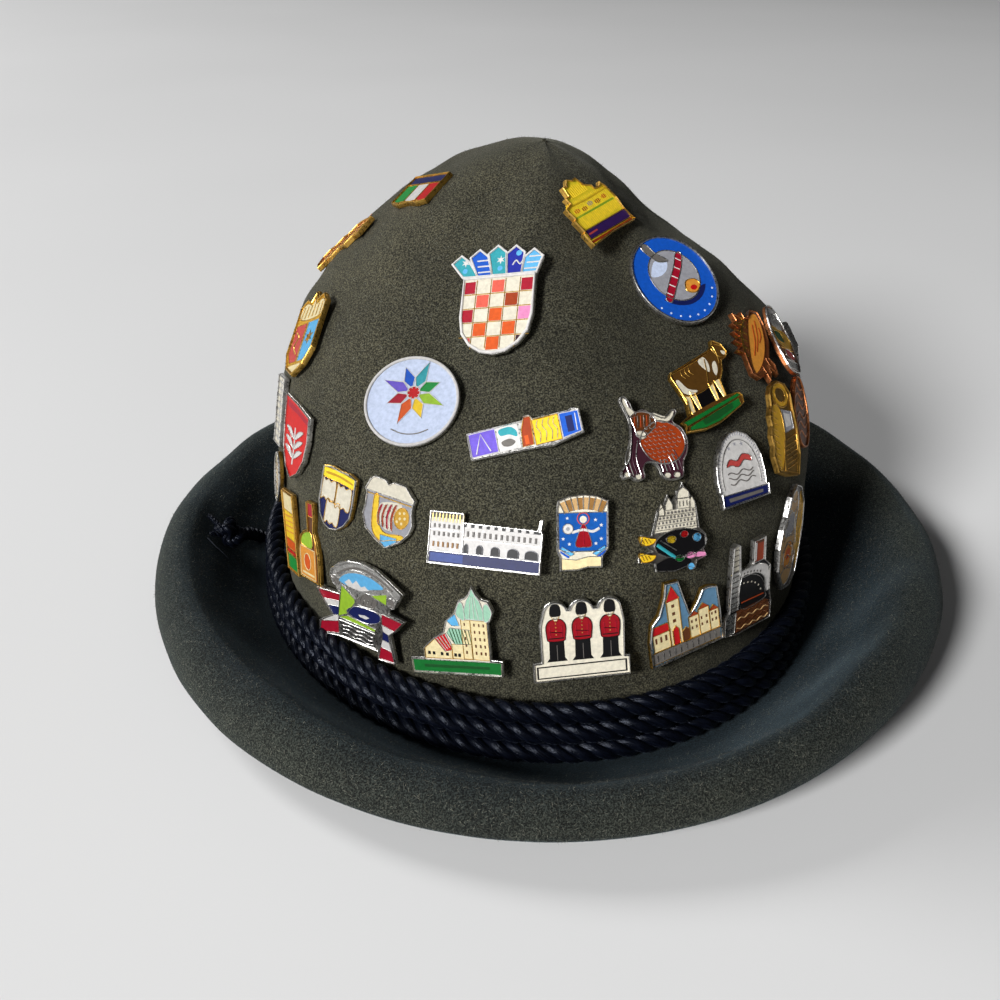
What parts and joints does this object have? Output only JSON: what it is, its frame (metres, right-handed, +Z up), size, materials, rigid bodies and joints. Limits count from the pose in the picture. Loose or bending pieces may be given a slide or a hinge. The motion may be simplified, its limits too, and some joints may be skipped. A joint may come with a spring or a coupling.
{
  "type": "tyrolean hat",
  "caption": "Tyrolean felt hat with a pinched, pointed crown, a rolled brim, a twisted cord band tied in a knot, and enamel souvenir pins on the crown",
  "frame": {"origin": "on the plane the hat rests on, at the middle of the brim's width and length; the middle of the head opening is 4 mm towards -X and 3 mm towards -Y of it", "axes": "+Z up through the crown, -Y is the front of the hat, +X is the wearer's left"},
  "size_m": [0.268, 0.288, 0.1465],
  "materials": {
    "felt": "brushed wool felt, dark olive grey",
    "cord": "twisted satin cord, near-black navy",
    "flag_enamel": "die-struck metal with glossy enamel cells",
    "feather_enamel": "die-struck metal with glossy enamel cells",
    "tall_crest_enamel": "die-struck metal with glossy enamel cells",
    "silver_bar_enamel": "die-struck metal with glossy enamel cells",
    "red_shield_enamel": "die-struck metal with glossy enamel cells",
    "pale_oval_enamel": "die-struck metal with glossy enamel cells",
    "striped_strip_enamel": "die-struck metal with glossy enamel cells",
    "bottle_enamel": "die-struck metal with glossy enamel cells",
    "gate_shield_enamel": "die-struck metal with glossy enamel cells",
    "boat_shield_enamel": "die-struck metal with glossy enamel cells",
    "lake_badge_enamel": "die-struck metal with glossy enamel cells",
    "chequered_shield_enamel": "die-struck metal with glossy enamel cells",
    "round_star_enamel": "die-struck metal with glossy enamel cells",
    "block_bar_enamel": "die-struck metal with glossy enamel cells",
    "gold_castle_enamel": "die-struck metal with glossy enamel cells",
    "round_blue_enamel": "die-struck metal with glossy enamel cells",
    "shaggy_cow_enamel": "die-struck metal with glossy enamel cells",
    "meadow_cow_enamel": "die-struck metal with glossy enamel cells",
    "stag_enamel": "die-struck metal with glossy enamel cells",
    "silver_leaf_enamel": "die-struck metal with glossy enamel cells",
    "dark_panel_enamel": "die-struck metal with glossy enamel cells",
    "white_arch_enamel": "die-struck metal with glossy enamel cells",
    "gold_figure_enamel": "die-struck metal with glossy enamel cells",
    "brown_scroll_enamel": "die-struck metal with glossy enamel cells",
    "rough_map_enamel": "die-struck metal with glossy enamel cells",
    "ship_enamel": "die-struck metal with glossy enamel cells",
    "chateau_enamel": "die-struck metal with glossy enamel cells",
    "crowned_shield_enamel": "die-struck metal with glossy enamel cells",
    "domed_church_enamel": "die-struck metal with glossy enamel cells",
    "green_spire_enamel": "die-struck metal with glossy enamel cells",
    "three_guards_enamel": "die-struck metal with glossy enamel cells",
    "old_town_enamel": "die-struck metal with glossy enamel cells"
  },
  "bodies": {
    "root": {"felt_body": "felt", "cord_band": "cord", "cord_knot": "cord", "pin_flag": "flag_enamel", "pin_feather": "feather_enamel", "pin_tall_crest": "tall_crest_enamel", "pin_silver_bar": "silver_bar_enamel", "pin_red_shield": "red_shield_enamel", "pin_pale_oval": "pale_oval_enamel", "pin_striped_strip": "striped_strip_enamel", "pin_bottle": "bottle_enamel", "pin_gate_shield": "gate_shield_enamel", "pin_boat_shield": "boat_shield_enamel", "pin_lake_badge": "lake_badge_enamel", "pin_chequered_shield": "chequered_shield_enamel", "pin_round_star": "round_star_enamel", "pin_block_bar": "block_bar_enamel", "pin_gold_castle": "gold_castle_enamel", "pin_round_blue": "round_blue_enamel", "pin_shaggy_cow": "shaggy_cow_enamel", "pin_meadow_cow": "meadow_cow_enamel", "pin_stag": "stag_enamel", "pin_silver_leaf": "silver_leaf_enamel", "pin_dark_panel": "dark_panel_enamel", "pin_white_arch": "white_arch_enamel", "pin_gold_figure": "gold_figure_enamel", "pin_brown_scroll": "brown_scroll_enamel", "pin_rough_map": "rough_map_enamel", "pin_ship": "ship_enamel", "pin_chateau": "chateau_enamel", "pin_crowned_shield": "crowned_shield_enamel", "pin_domed_church": "domed_church_enamel", "pin_green_spire": "green_spire_enamel", "pin_three_guards": "three_guards_enamel", "pin_old_town": "old_town_enamel"}
  },
  "joints": []
}
